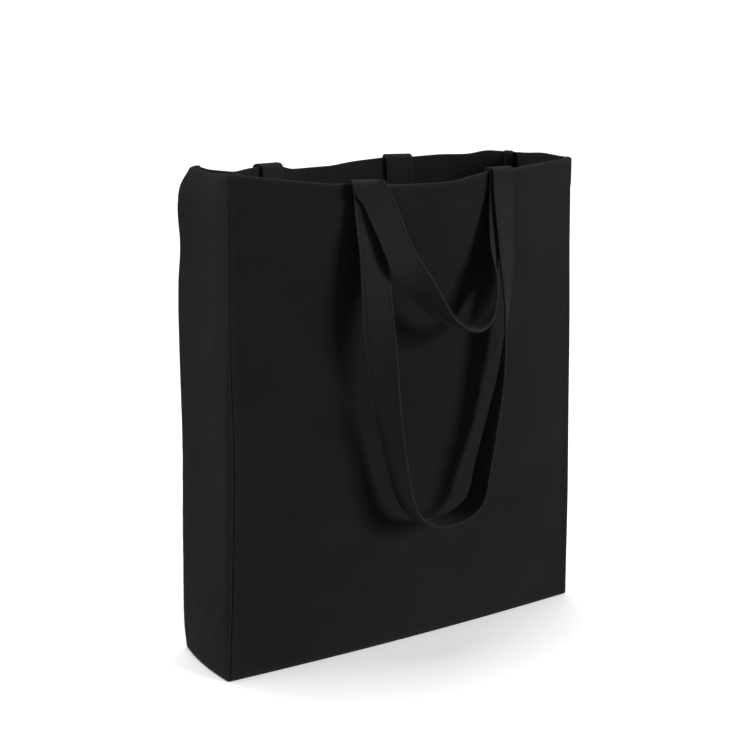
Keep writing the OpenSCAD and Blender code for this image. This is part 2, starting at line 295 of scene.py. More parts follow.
# How much the middle of each gusset rises at the rim
GUSSET_RISE = {LEFT: -1.6, RIGHT: 1.8}
BOW_TOP = 130


def half_len(u):
    return HALF_W - TOP_INSET * u


def half_depth(u):
    return HALF_D - (HALF_D - TOP_HALF_D) * u


def face_out(side, x, u):
    """Distance of the outside of a wide face from the bag's middle plane."""
    return half_depth(u) + BULGE[side] * u ** BULGE_RISE * (1 - (x / half_len(u)) ** 2)


def rim_line(side, x, u):
    """Height of the rim over a point: smooth low down, with its true waves near the top."""
    plain = HEIGHT - RIM_DIP * (1 - (x / half_len(u)) ** 2)
    return plain + (RIM[side](x) - plain) * smoothstep(0.55, 1, u)


def from_both_ends(length, middle_count):
    """Distances along a row that is fine beside its two seams."""
    last = SEAM_STEPS[-1]
    middle = np.linspace(last, length - last, middle_count + 2)[1:-1]
    return np.concatenate([SEAM_STEPS, middle, length - SEAM_STEPS[::-1]])


def edge_roll(distance, level=0):
    """How far the cloth rolls in at a seam; the hem holds it flatter."""
    roll = ROLL - np.sqrt(np.clip(ROLL ** 2 - np.clip(ROLL - distance, 0, ROLL) ** 2, 0, None))
    return roll * (1 - 0.88 * smoothstep(HEM_LINE - 5, HEM_LINE + 1, level))


def hem_relief(a, level, seed):
    """The hem's stitches pull a line in, with small puckers above and below it."""
    off = level - HEM_LINE
    pucker = ripples(seed, a, 0 * a, 0.14, 7, 26)
    return (-0.07 * np.exp(-(off / 0.7) ** 2) - 0.12 * np.exp(-((off + 2.5) / 3.0) ** 2)
            + pucker * np.exp(-((off - 4) / 7) ** 2)
            + 0.38 * smoothstep(-3.2, 3.2, off) * smoothstep(30, 14, off))


def wall_thickness(level, distance, allowance):
    """One layer, doubled by the hem and, beside a seam, by the allowance sewn down flat."""
    thick = CLOTH + (HEM - CLOTH) * smoothstep(HEM_EDGE - 0.4, HEM_EDGE + 0.2, level)
    flap = smoothstep(1.6, 2.6, distance) * smoothstep(9.2, 8.4, distance)
    return thick + allowance * flap


# Lighter marks by level and distance from the seam: rubbed wear at the bottom edge and beside the
# seams, painted highlight along the hem ridge and the rim
def wall_wear_and_highlight(level, distance):
    bottom = np.exp(-(level / 3.5) ** 2)
    seam = 0.5 * np.exp(-((distance - 1.2) / 1.0) ** 2)
    hem = 0.35 * np.exp(-((level - HEM_LINE - 1.4) / 0.8) ** 2)
    top = 0.5 * smoothstep(HEIGHT - 3.2, HEIGHT - 0.8, level)
    return np.clip(bottom + seam + hem + top, 0, 1)


def wall_surfaces(base, normal, relief, roll, thick):
    """Outside and inside of a wall; only the outside rolls in at the seams."""
    outer = base + normal * (relief - roll)[..., None]
    inner = base + normal * (relief - thick)[..., None]
    for surface in (outer, inner):
        surface[..., 2] = np.maximum(surface[..., 2], FLOOR_GAP)
    return outer, inner


def wide_face(name, side):
    levels = LEVELS[:, None]
    u = levels / HEIGHT
    end = half_len(u) - SEAM_WANDER(levels) - SEAM_HALF_GAP
    edge = len(SEAM_STEPS)
    x = np.empty((len(LEVELS), 2 * edge + FACE_COLUMNS))
    x[:, :edge] = -end + SEAM_STEPS
    x[:, -edge:] = end - SEAM_STEPS[::-1]
    inner = end - SEAM_STEPS[-1]
    x[:, edge:-edge] = inner * np.linspace(-1, 1, FACE_COLUMNS + 2)[None, 1:-1]
    distance = end - np.abs(x)
    out = face_out(side, x, u) - CURL_INSET[:, None]
    out = out + WALL_BOW[side] * (1 - (x / half_len(u)) ** 2) * smoothstep(BOW_TOP, 0, levels)
    base = np.stack([x, side * out, u * rim_line(side, x, u)], -1)
    for hand in (LEFT, RIGHT):
        sag = SAG[side, hand](levels) * smoothstep(SAG_REACH, 0, end - hand * x)
        base = base + sag[..., None] * np.array([hand * SAG_X, side * SAG_Y, 0])
    normal = normals_of(base, (0, side, 0))
    away = smoothstep(6, 60, distance) * smoothstep(4, 60, levels)
    seed = 11 if side == FRONT else 12
    relief = ((0.45 * smoothstep(0.8, 1.8, distance) * smoothstep(6.6, 3.4, distance)
               - 0.25 * np.exp(-((distance - TOPSTITCH) / 0.5) ** 2))
              * smoothstep(HEM_LINE + 1, HEM_LINE - 4, levels) * smoothstep(0, 4, levels)
              + away * ripples(seed, x, levels, 0.9, 70, 260)
              + away * ripples(seed + 20, x, levels, 0.12, 14, 40)
              + hem_relief(x, levels + 0 * x, seed + 40))
    for fold in FACE_FOLDS[side]:
        relief = relief + crease(x, levels + 0 * x, *fold)
    thick = wall_thickness(levels, distance, 2.2)
    outer, inner = wall_surfaces(base, normal, relief, edge_roll(distance, levels), thick)
    normal = normals_of(outer, (0, side, 0))
    across = np.concatenate([[0], np.cumsum(np.linalg.norm(np.diff(outer[-6], axis=0), axis=1))])
    obj = sheet_object(name, outer, inner, across, LEVELS, wall_wear_and_highlight(levels, distance))
    return {"obj": obj, "outer": outer, "normal": normal}


# Soft folds of the wide faces: start, end, height, width
FACE_FOLDS = {
    FRONT: [((-150, 330), (-120, 180), 0.7, 13), ((-20, 395), (-40, 260), 0.5, 16),
            ((95, 396), (120, 250), 0.6, 14), ((-165, 60), (-120, 22), 0.6, 7),
            ((166, 70), (110, 16), 0.6, 8)],
    BACK: [((140, 330), (100, 190), 0.7, 14), ((10, 395), (30, 250), 0.6, 16),
           ((-95, 396), (-125, 260), 0.6, 13), ((165, 60), (120, 20), 0.6, 8),
           ((-165, 80), (-110, 18), 0.6, 8)],
}

# Soft creases of the gussets, by distance from the middle (front below zero) and level
GUSSET_FOLDS = {
    LEFT: [((44, 186), (-14, 152), 1.1, 4.5), ((44, 158), (4, 138), 0.9, 4),
           ((44, 128), (0, 104), 1.1, 4), ((43, 92), (4, 74), 1.0, 3.6),
           ((44, 66), (8, 48), 0.9, 3.6), ((44, 40), (-8, 14), 1.1, 4.5),
           ((44, 222), (10, 204), 0.7, 5), ((40, 395), (18, 391), 0.6, 2.5),
           ((-36, 300), (16, 236), 0.4, 9), ((-40, 70), (-12, 26), 0.7, 5)],
    RIGHT: [((-43, 190), (10, 150), 0.9, 5), ((-42, 118), (4, 96), 0.9, 4.5),
            ((44, 70), (0, 44), 0.8, 4.5), ((-42, 40), (6, 14), 0.9, 5),
            ((38, 310), (-14, 240), 0.4, 9)],
}


def corner_curve(a, b, c, t):
    return (1 - t) ** 2 * a + 2 * t * (1 - t) * b + t * t * c


def gusset_plan(level):
    """Outside line of the right gusset at a level, from the front seam to the back seam."""
    u = level / HEIGHT
    wander = float(SEAM_WANDER(level))
    x0, x1 = half_len(u) - wander + SEAM_HALF_GAP, half_len(u)
    reach = wander + 2.2
    t = np.linspace(0, 1, 25)[:, None]
    ends = []
    for side in (FRONT, BACK):
        seam = np.array([x0, side * face_out(side, x0, u)])
        corner = np.array([x1, side * half_depth(u)])
        flat = corner - np.array([0, side * reach])
        ends.append(corner_curve(seam, corner, flat, t))
    return np.concatenate([ends[0], ends[1][::-1]])


def gusset(name, hand):
    rows = []
    for level, inset in zip(LEVELS, CURL_INSET):
        line = gusset_plan(level)
        heading = unit(np.gradient(line, axis=0))
        line = line - inset * np.stack([heading[:, 1], -heading[:, 0]], -1)
        length = np.concatenate([[0], np.cumsum(np.linalg.norm(np.diff(line, axis=0), axis=1))])
        wanted = from_both_ends(length[-1], GUSSET_COLUMNS)
        rows.append(np.stack([np.interp(wanted, length, line[:, 0]),
                              np.interp(wanted, length, line[:, 1])], -1))
    plan = np.array(rows)
    levels = LEVELS[:, None] + 0 * plan[..., 0]
    u = levels / HEIGHT
    depth = half_depth(u)
    bow = GUSSET_BOW[hand] * np.clip(1 - (plan[..., 1] / depth) ** 2, 0, 1)
    plan[..., 0] += bow * smoothstep(BOW_TOP, 0, levels)
    row = from_both_ends(2 * HALF_D + 4, GUSSET_COLUMNS)
    distance = np.minimum(row, row[::-1])[None] + 0 * levels
    y = plan[..., 1]
    share = smoothstep(-TOP_HALF_D, TOP_HALF_D, y)
    x_seam = hand * plan[..., 0]
    rim = (rim_line(FRONT, x_seam, u) * (1 - share) + rim_line(BACK, x_seam, u) * share
           + GUSSET_RISE[hand] * np.exp(-(y / 18) ** 2) * smoothstep(0.8, 1, u))
    base = np.stack([hand * plan[..., 0], y, u * rim], -1)
    for side in (FRONT, BACK):
        sag = SAG[side, hand](levels) * np.clip((side * y / depth + 1) / 2, 0, 1)
        base = base + sag[..., None] * np.array([hand * SAG_X, side * SAG_Y, 0])
    normal = normals_of(base, (hand, 0, 0))
    away = smoothstep(3, 22, distance) * smoothstep(4, 40, levels)
    seed = 31 if hand == LEFT else 32
    relief = (away * (ripples(seed, y, levels, 0.8, 50, 220)
                        - 1.6 * np.exp(-(y / 22) ** 2) * smoothstep(0.1, 0.9, u))
              + away * ripples(seed + 20, y, levels, 0.14, 12, 40)
              + hem_relief(y, levels, seed + 40))
    for fold in GUSSET_FOLDS[hand]:
        relief = relief + away ** 0.5 * crease(y, levels, *fold) * smoothstep(0, 8, levels)
    thick = wall_thickness(levels, distance, 0) * (
        1 - 0.35 * smoothstep(6, 2, distance) * smoothstep(HEM_EDGE, HEM_EDGE + 1, levels))
    outer, inner = wall_surfaces(base, normal, relief, edge_roll(distance, levels), thick)
    normal = normals_of(outer, (hand, 0, 0))
    obj = sheet_object(name, outer, inner, row, LEVELS, wall_wear_and_highlight(levels, distance))
    return {"obj": obj, "outer": outer, "normal": normal}


def base_panel():
    """The base lies between the walls; its edges turn up a little where it is sewn to them."""
    edge = CURL + 2 * SEAM_HALF_GAP
    steps_x = from_both_ends(2 * (HALF_W - edge), BASE_COLUMNS) - (HALF_W - edge)
    steps_y = from_both_ends(2 * (HALF_D - edge), BASE_ROWS) - (HALF_D - edge)
    x, y = np.meshgrid(steps_x, steps_y, indexing="ij")
    distance = np.minimum(HALF_W - edge - np.abs(x), HALF_D - edge - np.abs(y))
    x = x * (1 + np.where(x < 0, GUSSET_BOW[LEFT], GUSSET_BOW[RIGHT]) / HALF_W
             * (1 - (y / HALF_D) ** 2))
    y = y * (1 + np.where(y < 0, WALL_BOW[FRONT], WALL_BOW[BACK]) / HALF_D
             * (1 - (np.clip(x, -HALF_W, HALF_W) / HALF_W) ** 2))
    away = smoothstep(4, 30, distance)
    lift = BASE_LIFT + edge_roll(distance)
    sway = away * np.abs(ripples(51, x, y, 0.35, 40, 150))
    outer = np.stack([x, y, lift + 0 * x], -1)
    inner_z = CLOTH + BASE_LIFT + sway + 0.9 * smoothstep(1.4, 2.4, distance) * smoothstep(
        9.5, 8.5, distance) - 0.3 * np.exp(-((distance - TOPSTITCH) / 0.6) ** 2)
    n, m = x.shape
    top = np.stack([x, y, inner_z], -1)
    ring = np.concatenate([outer, top[:, ::-1]], 1)
    points = ring.reshape(-1, 3)
    uv = ring[..., :2].reshape(-1, 2)
    wear_and_highlight = np.concatenate([np.full((n, m), 0.3), np.zeros((n, m))], 1).ravel()
    obj = make_object("bottom_panel_cloth", points, loft(np.empty((n, 2 * m))), uv, wear_and_highlight)
    return {"obj": obj, "top": top}


# ---- Straps ----

# Distance outwards from the hinge line of the inner and outer strap at the rim
LAYER_IN = 2.6
LAYER_OUT = 4.7
ROUTES = {
    "long": [
        (-FOOT_X, LAYER_IN, 0, 0), (-67, 5.5, 31.5, 0), (-67.5, 12, 64.5, 0),
        (-66, 18.6, 122, 28), (-57, 15.8, 182, 60), (-45, 12.6, 235.5, 76),
        (-32.5, 10.8, 274, 86), (-14.5, 9.6, 291.5, 90), (6, 9, 295, 90), (25.5, 9.3, 290.5, 90),
        (38.5, 9.8, 278.5, 88), (44.5, 10.3, 252, 86), (52.5, 11.5, 214, 76), (60, 13.6, 168, 62),
        (63, 14, 113.5, 44), (62.5, 12.1, 65.5, 22), (61.5, 8.6, 29.5, 6),
        (FOOT_X, LAYER_OUT, 0, 0)],
    "short": [
        (-FOOT_X, LAYER_OUT, 0, 0), (-61, 10, 22, 0), (-54.5, 17.5, 44, 0), (-47.5, 23, 65, 4),
        (-37.5, 26, 82, 32), (-24, 29, 100, 60), (-9.5, 30.5, 116, 80), (9.5, 30, 125, 90),
        (25, 27.5, 122.5, 90), (35.5, 25, 109.5, 84), (44, 20, 89.5, 68), (52, 11, 65, 32),
        (58, 5.6, 31.5, 6), (FOOT_X, LAYER_IN, 0, 0)],
}
# Which strap lies outside at the first and the last foot of its route
OUTER_AT = {"long": (False, True), "short": (True, False)}


def spline_route(route, per_span=24):
    """Catmull-Rom line through a route, its end points repeated."""
    keys = np.array(route, float)
    padded = np.concatenate([keys[:1], keys, keys[-1:]])
    t = np.linspace(0, 1, per_span, endpoint=False)[:, None]
    spans = []
    for i in range(len(keys) - 1):
        a, b, c, d = padded[i:i + 4]
        spans.append(0.5 * (2 * b + (c - a) * t + (2 * a - 5 * b + 4 * c - d) * t ** 2
                            + (3 * b - a - 3 * c + d) * t ** 3))
    return np.concatenate(spans + [keys[-1:]])


def even_stations(values, step):
    """Resamples rows of values at even distances along their first three columns."""
    gone = np.concatenate([[0], np.cumsum(np.linalg.norm(np.diff(values[:, :3], axis=0), axis=1))])
    count = max(2, int(round(gone[-1] / step)))
    wanted = np.linspace(0, gone[-1], count + 1)
    return np.stack([np.interp(wanted, gone, values[:, k]) for k in range(values.shape[1])], -1)


def strap_section():
    """Outline of a folded and sewn strap: (across, through) with grooves at its stitching."""
    s = np.array([-11.55, -11.1, -10.6, -10.25, -9.9, -9.55, -9.2, -8.4, -6.5, -3.5, 0])
    s = np.concatenate([s, -s[-2::-1]])
    high = (STRAP_T / 2 + 0.1 * (1 - (s / 12) ** 2)
            - 0.26 * np.exp(-((np.abs(s) - EDGE_STITCH) / 0.45) ** 2)
            + 0.1 * np.exp(-((np.abs(s) - 11.3) / 0.7) ** 2))
    turn = np.radians(np.linspace(90, -90, 7))[1:-1]
    edge = np.stack([STRAP_W / 2 - 0.9 + 0.9 * np.cos(turn), 0.95 * np.sin(turn)], -1)
    upper = np.stack([s, high], -1)
    return np.concatenate([upper, edge, upper[::-1] * (1, -1), edge[::-1] * (-1, 1)])


SECTION = strap_section()


def ribbon(name, mid, across, normal, swell):
    """Closed strap through stations; swell is its thickness at each, 1 for the full one."""
    ring = (mid[:, None] + across[:, None] * SECTION[None, :, :1]
            + normal[:, None] * SECTION[None, :, 1:] * swell[:, None, None])
    gone = np.concatenate([[0], np.cumsum(np.linalg.norm(np.diff(mid, axis=0), axis=1))])
    around = np.concatenate([[0], np.cumsum(np.linalg.norm(np.diff(SECTION, axis=0), axis=1))])
    uv = np.stack(np.broadcast_arrays(around[None], gone[:, None]), -1).reshape(-1, 2)
    # Both long edges of a strap are lightened, as rubbed wear and painted highlight
    edge = smoothstep(11.0, 12.2, np.abs(SECTION[:, 0]))
    wear_and_highlight = np.broadcast_to(edge[None], (len(mid), len(SECTION)))
    faces = loft(ring, capped=False)
    k = len(SECTION)
    faces += [list(range(k))[::-1], list(range((len(mid) - 1) * k, len(mid) * k))]
    return make_object(name, ring.reshape(-1, 3), faces, uv, wear_and_highlight, sharp=60)


def to_world(side, points, hinge):
    """From (x, outwards, up) round the hinge line to the bag's frame."""
    turned = points * (1, -1, 1) if side == FRONT else points * (-1, 1, 1)
    return turned + np.array(hinge)


def loop_stations(side, kind):
    """Middle, across and normal vectors along a whole loop, feet included, in its own frame."""
    route = np.array(ROUTES[kind], float)
    route[0, 0], route[-1, 0] = FEET[side]
    near_last = smoothstep(110, 20, route[-4:-1, 2])
    route[-4:-1, 0] += (FEET[side][1] - FEET[FRONT][1]) * near_last
    way = even_stations(spline_route(route), 2.6)
    x, out, drop, twist = way.T
    heading = unit(np.stack([np.gradient(x), np.gradient(drop)], -1))
    heading[0], heading[-1] = (0, 1), (0, -1)
    twist = np.radians(twist)
    gone = np.concatenate([[0], np.cumsum(np.linalg.norm(np.diff(way[:, :3], axis=0), axis=1))])
    mid = np.stack([x, out, -drop], -1)
    across = np.stack([heading[:, 1] * np.cos(twist), np.sin(twist),
                       heading[:, 0] * np.cos(twist)], -1)
    normal = np.stack([-heading[:, 1] * np.sin(twist), np.cos(twist),
                       -heading[:, 0] * np.sin(twist)], -1)
    # At its feet the strap is turned with the face that it is sewn to
    slope = 2 * BULGE[side] * FOOT_X / half_len(1) ** 2
    yaw = math.atan(slope) * (smoothstep(75, 12, gone) - smoothstep(75, 12, gone[-1] - gone))
    cos, sin = np.cos(yaw), np.sin(yaw)
    for v in (across, normal):
        v[:, 0], v[:, 1] = v[:, 0] * cos - v[:, 1] * sin, v[:, 0] * sin + v[:, 1] * cos
    return mid, across, normal


def foot_x(side, end):
    """Where a foot is along x; the routes of the back run the other way."""
    return FEET[side][end] * -side


def foot_frame(side, x):
    """The rim's outside point at x, the outward direction there and the way along the rim."""
    face = WALLS[side]["outer"][-1]
    order = np.argsort(face[:, 0])
    y, z = (np.interp([x - 8, x, x + 8], face[order, 0], face[order, k]) for k in (1, 2))
    along = unit(np.array([16, y[2] - y[0], 0.0]))
    outward = np.array([along[1], -along[0], 0]) if side == FRONT else np.array(
        [-along[1], along[0], 0])
    return np.array([x, y[1], z[1] + HEM / 2]), outward, along


def sewn_end(side, outer, route_mid, route_across, route_normal, x):
    """Stations of a sewn end: up the inside of the hem, over the rim, down to the loop."""
    rim, outward, along = foot_frame(side, x)
    layer = int(outer)
    depth = HEM + HEM_CLEAR + STRAP_T / 2 + layer * (STRAP_T + LAYER_GAP)
    fold = 0.75 + 1.35 * layer
    hang = float((route_mid[0] - rim) @ outward)
    up = np.array([0, 0, 1.0])
    tab = np.arange(-TAB_LEN, -1.5, 2.4)
    turn = np.radians(np.linspace(180, 0, 21))
    centre, half = (hang - depth) / 2, (hang + depth) / 2
    c, s = np.cos(turn), np.sin(turn)
    arch_out = centre + half * np.sign(c) * np.abs(c) ** 0.75
    arch_up = -1.2 + (1.2 + fold) * np.abs(s) ** 0.8
    line = np.concatenate([np.stack([np.full(len(tab), -depth), tab], -1),
                           np.stack([arch_out, arch_up], -1)])
    line = even_stations(np.concatenate([line, 0 * line[:, :1]], -1), 1.1)[:, :2]
    foot = rim + line[:, :1] * outward + line[:, 1:] * up
    # From the arch down to the loop, easing from the foot's frame into the loop's
    start = foot[-1]
    steps = max(3, int((start[2] - route_mid[0][2]) / 1.6))
    ease = smoothstep(0, 1, np.linspace(0, 1, steps + 1)[1:])[:, None]
    fall = np.linspace(0, 1, steps + 1)[1:][:, None]
    plan = start[:2] * (1 - ease) + route_mid[0][:2] * ease
    height = start[2] * (1 - fall) + route_mid[0][2] * fall
    mid = np.concatenate([foot, np.concatenate([plan, height], -1)])
    heading = unit(np.gradient(mid, axis=0))
    heading[0] = up
    heading[-1] = unit(np.cross(route_normal[0], route_across[0]))
    if heading[-1][2] > 0:
        heading[-1] = -heading[-1]
    gain = np.concatenate([np.zeros(len(foot)), ease[:, 0]])[:, None]
    sign = 1.0 if route_across[0] @ along > 0 else -1.0
    across = unit(sign * along * (1 - gain) + route_across[0] * gain)
    normal = np.cross(heading, across)
    face = normal[-1] @ route_normal[0]
    normal = unit(normal * (1 if face > 0 else -1))
    across = unit(np.cross(normal, heading) * (
        1 if np.cross(normal[-1], heading[-1]) @ route_across[0] > 0 else -1))
    mid[-1], across[-1], normal[-1] = route_mid[0], route_across[0], route_normal[0]
    pressed = np.exp(-((mid[:, 2] - rim[2] - fold) / 2.2) ** 2)
    swell = 1 - 0.3 * pressed * (np.arange(len(mid)) < len(foot))
    return mid, across, normal, swell, rim, outward


# ---- Stitches ----

def stitch_shape():
    """One stitch, 1 long, with a radius of 1: rings of six points and two tips sunk in."""
    rings = [(-0.5, 0.0, -0.9), (-0.44, 0.6, -0.4), (-0.25, 0.95, 0.1), (0.25, 0.95, 0.1),
             (0.44, 0.6, -0.4), (0.5, 0.0, -0.9)]
    points, faces = [], []
    for along, radius, sink in rings[1:-1]:
        for k in range(6):
            a = math.tau * k / 6
            points.append((along, radius * math.cos(a), sink + radius * math.sin(a)))
    first, last = len(points), len(points) + 1
    points += [(rings[0][0], 0, rings[0][2]), (rings[-1][0], 0, rings[-1][2])]
    for r in range(3):
        for k in range(6):
            a, b = 6 * r + k, 6 * r + (k + 1) % 6
            faces.append((a, b, b + 6, a + 6))
    for k in range(6):
        faces.append((first, (k + 1) % 6, k))
        faces.append((18 + k, 18 + (k + 1) % 6, last))
    return np.array(points), faces


STITCH, STITCH_FACES = stitch_shape()


def stitch_line(points, normals, pitch=3.1, radius=0.26):
    """Stitches along a line of points with the cloth's normals."""
    points, normals = np.asarray(points, float), unit(np.asarray(normals, float))
    gone = np.concatenate([[0], np.cumsum(np.linalg.norm(np.diff(points, axis=0), axis=1))])
    count = max(1, int(round(gone[-1] / pitch)))
    step = gone[-1] / count
    where = (np.arange(count) + 0.5) * step
    sample = lambda array, at: np.stack(
        [np.interp(at, gone, array[:, k]) for k in range(3)], -1)
    ahead, behind = sample(points, where + 0.36 * step), sample(points, where - 0.36 * step)
    way = unit(ahead - behind)
    up = sample(normals, where)
    up = unit(up - (up * way).sum(-1, keepdims=True) * way)
    side = np.cross(way, up)
    centre = sample(points, where)
    long = 0.78 * step
    local = STITCH[None]
    return (centre[:, None] + way[:, None] * local[..., :1] * long
            + side[:, None] * local[..., 1:2] * radius * 1.15
            + up[:, None] * local[..., 2:] * radius)


def edge_stitches(name, mid, across, normal, swell):
    """The stitches along both edges of a strap, on both of its faces."""
    lines = []
    for s in (-EDGE_STITCH, EDGE_STITCH):
        for face in (1, -1):
            thick = (STRAP_T / 2 - 0.1) * swell[:, None]
            lines.append(stitch_line(mid + across * s + normal * face * thick, normal * face))
    return stitches_object(name, lines)


def stitches_object(name, lines):
    """One object for several lines of stitches."""
    verts = np.concatenate(lines)
    count = len(STITCH)
    base = np.array([f for f in STITCH_FACES if len(f) == 4])
    tips = np.array([f for f in STITCH_FACES if len(f) == 3])
    faces = []
    for i in range(len(verts)):
        faces += (base + i * count).tolist() + (tips + i * count).tolist()
    uv = np.stack([STITCH[:, 0] * 2.4, np.arctan2(STITCH[:, 2], STITCH[:, 1])], -1)
    uv = np.concatenate([uv + (7 * i, 0) for i in range(len(verts))])
    return make_object(name, verts.reshape(-1, 3), faces, uv, sharp=80)


# ---- Materials ----

class Graph:
    """Short way to write a node tree."""

    def __init__(self, name):
        self.material = bpy.data.materials.new(name)
        self.material.use_nodes = True
        self.tree = self.material.node_tree
        self.shader = self.tree.nodes["Principled BSDF"]

    def add(self, kind, inputs=(), **fields):
        node = self.tree.nodes.new("ShaderNode" + kind)
        for key, value in fields.items():
            setattr(node, key, value)
        for key, value in dict(inputs).items():
            self.put(node.inputs[key], value)
        return node

    def put(self, socket, value):
        if isinstance(value, bpy.types.NodeSocket):
            self.tree.links.new(value, socket)
        else:
            socket.default_value = value

    def math(self, operation, a, b=0.0, c=0.0):
        return self.add("Math", {0: a, 1: b, 2: c}, operation=operation).outputs[0]

    def mix(self, factor, a, b):
        """a where factor is 0 and b where it is 1."""
        node = self.add("Mix", {0: factor, 2: a, 3: b}, data_type="FLOAT")
        return node.outputs[0]

    def noise(self, vector, scale, detail=2.0, roughness=0.55):
        node = self.add("TexNoise", {"Vector": vector, "Scale": scale, "Detail": detail,
                                     "Roughness": roughness})
        return node.outputs[0]

    def span(self, value, low, high, to_low, to_high):
        node = self.add("MapRange", {0: value, 1: low, 2: high, 3: to_low, 4: to_high})
        return node.outputs[0]

    def combine(self, x, y, z=0.0):
        return self.add("CombineXYZ", {0: x, 1: y, 2: z}).outputs[0]


def woven(name, colour, pitch, wear_and_highlight_gain, depth, sheen):
    """Plain-woven canvas: threads over and under with painted shade in the gaps between them,
    uneven yarn, edges lightened by rubbed wear and painted highlight, and fine fluff.
    """
    g = Graph(name)
    uv = g.add("UVMap", uv_map="cloth").outputs[0]
    where = g.add("TexCoord").outputs["Object"]
    drift = g.span(g.noise(where, 60, 2), 0.3, 0.7, -0.16, 0.16)
    parts = g.add("SeparateXYZ", {0: uv}).outputs
    u = g.math("ADD", g.math("DIVIDE", parts[0], pitch[0]), drift)
    v = g.math("ADD", g.math("DIVIDE", parts[1], pitch[1]), drift)
    cell_u, cell_v = g.math("FLOOR", u), g.math("FLOOR", v)
    wave_u = g.math("SINE", g.math("MULTIPLY", g.math("FRACT", u), math.pi))
    wave_v = g.math("SINE", g.math("MULTIPLY", g.math("FRACT", v), math.pi))
    over = g.math("FLOORED_MODULO", g.math("ADD", cell_u, cell_v), 2.0)
    warp = g.math("MULTIPLY", g.math("POWER", wave_u, 0.5),
                  g.math("MULTIPLY_ADD", wave_v, 0.45, 0.55))
    weft = g.math("MULTIPLY", g.math("POWER", wave_v, 0.5),
                  g.math("MULTIPLY_ADD", wave_u, 0.45, 0.55))
    height = g.mix(over, warp, weft)
    yarn_warp = g.noise(g.combine(g.math("MULTIPLY", cell_u, 0.71),
                                  g.math("MULTIPLY", parts[1], 45)), 1, 2)
    yarn_weft = g.noise(g.combine(g.math("MULTIPLY", parts[0], 45),
                                  g.math("MULTIPLY", cell_v, 0.71), 4.0), 1, 2)
    yarn = g.mix(over, yarn_warp, yarn_weft)
    mottle = g.noise(where, 22, 4)
    dye = g.noise(where, 5.5, 2)
    # Lightens the colour by the mask of rubbed wear and painted highlight, in patches
    edge = g.add("Attribute", attribute_name="wear_and_highlight").outputs["Fac"]
    rubbed_and_highlit = g.math("MULTIPLY", edge, g.span(g.noise(where, 140, 3), 0.35, 0.65, 0.35, 1.0))
    fluff = g.span(g.noise(where, 420, 3, 0.7), 0.7, 0.8, 0.0, 0.55)
    # Painted shade in the weave: the low gaps between the threads are darker
    tone = g.span(height, 0.15, 0.9, 0.62, 1.1)
    tone = g.math("MULTIPLY", tone, g.span(yarn, 0.3, 0.7, 0.82, 1.18))
    tone = g.math("MULTIPLY", tone, g.span(mottle, 0.3, 0.7, 0.88, 1.12))
    tone = g.math("MULTIPLY", tone, g.span(dye, 0.3, 0.7, 0.9, 1.1))
    tone = g.math("ADD", tone, g.math("MULTIPLY", rubbed_and_highlit, wear_and_highlight_gain))
    tone = g.math("ADD", tone, fluff)
    scaled = g.add("VectorMath", {0: colour, "Scale": tone}, operation="SCALE").outputs[0]
    g.put(g.shader.inputs["Base Color"], scaled)
    rough = g.math("ADD", g.span(yarn, 0.3, 0.7, 0.8, 0.94), g.math("MULTIPLY", rubbed_and_highlit, -0.08))
    g.put(g.shader.inputs["Roughness"], rough)
    g.put(g.shader.inputs["Specular IOR Level"], 0.12)
    g.put(g.shader.inputs["Sheen Weight"], sheen)
    g.put(g.shader.inputs["Sheen Roughness"], 0.45)
    g.put(g.shader.inputs["Sheen Tint"], (0.9, 0.88, 0.92, 1))
    relief = g.math("ADD", height, g.math("MULTIPLY", yarn, 0.5))
    relief = g.math("ADD", relief, g.math("MULTIPLY", g.noise(where, 900, 2), 0.35))
    bump = g.add("Bump", {"Strength": 0.8, "Distance": depth, "Height": relief})
    g.put(g.shader.inputs["Normal"], bump.outputs[0])
    return g.material


def spun(name, colour):
    """Sewing thread: two plies twisted, a little glossier than the cloth."""
    g = Graph(name)
    uv = g.add("UVMap", uv_map="cloth").outputs[0]
    parts = g.add("SeparateXYZ", {0: uv}).outputs
    where = g.add("TexCoord").outputs["Object"]
    turn = g.math("ADD", g.math("MULTIPLY", parts[0], 5200), g.math("MULTIPLY", parts[1], 1000))
    ply = g.math("ABSOLUTE", g.math("SINE", turn))
    fibre = g.noise(where, 2600, 2)
    # Painted shade in the twist: the grooves between the plies are darker
    tone = g.math("MULTIPLY", g.span(ply, 0, 1, 0.6, 1.15), g.span(fibre, 0.3, 0.7, 0.85, 1.15))
    scaled = g.add("VectorMath", {0: colour, "Scale": tone}, operation="SCALE").outputs[0]
    g.put(g.shader.inputs["Base Color"], scaled)
    g.put(g.shader.inputs["Roughness"], g.span(fibre, 0.3, 0.7, 0.55, 0.7))
    g.put(g.shader.inputs["Specular IOR Level"], 0.15)
    g.put(g.shader.inputs["Sheen Weight"], 0.02)
    bump = g.add("Bump", {"Strength": 0.6, "Distance": 0.00012,
                          "Height": g.math("ADD", ply, g.math("MULTIPLY", fibre, 0.4))})
    g.put(g.shader.inputs["Normal"], bump.outputs[0])
    return g.material


CANVAS = woven("canvas", (0.0076, 0.0068, 0.0080), (0.00078, 0.00072), 0.9, 0.00022, 0.02)
GUSSET_CANVAS = woven("gusset_canvas", (0.0090, 0.0087, 0.0092), (0.00072, 0.00078), 0.9, 0.00022,
                      0.02)
STRAP_CLOTH = woven("strap_cloth", (0.0105, 0.0103, 0.0110), (0.00074, 0.00070), 0.45, 0.0002,
                    0.025)
THREAD = spun("thread", (0.0070, 0.0067, 0.0073))


def dress(obj, material, body="bag"):
    """Gives a piece its material and slot, and its body when one is given."""
    obj.data.materials.append(material)
    if body:
        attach(obj, body)
    return obj


# ---- Build ----

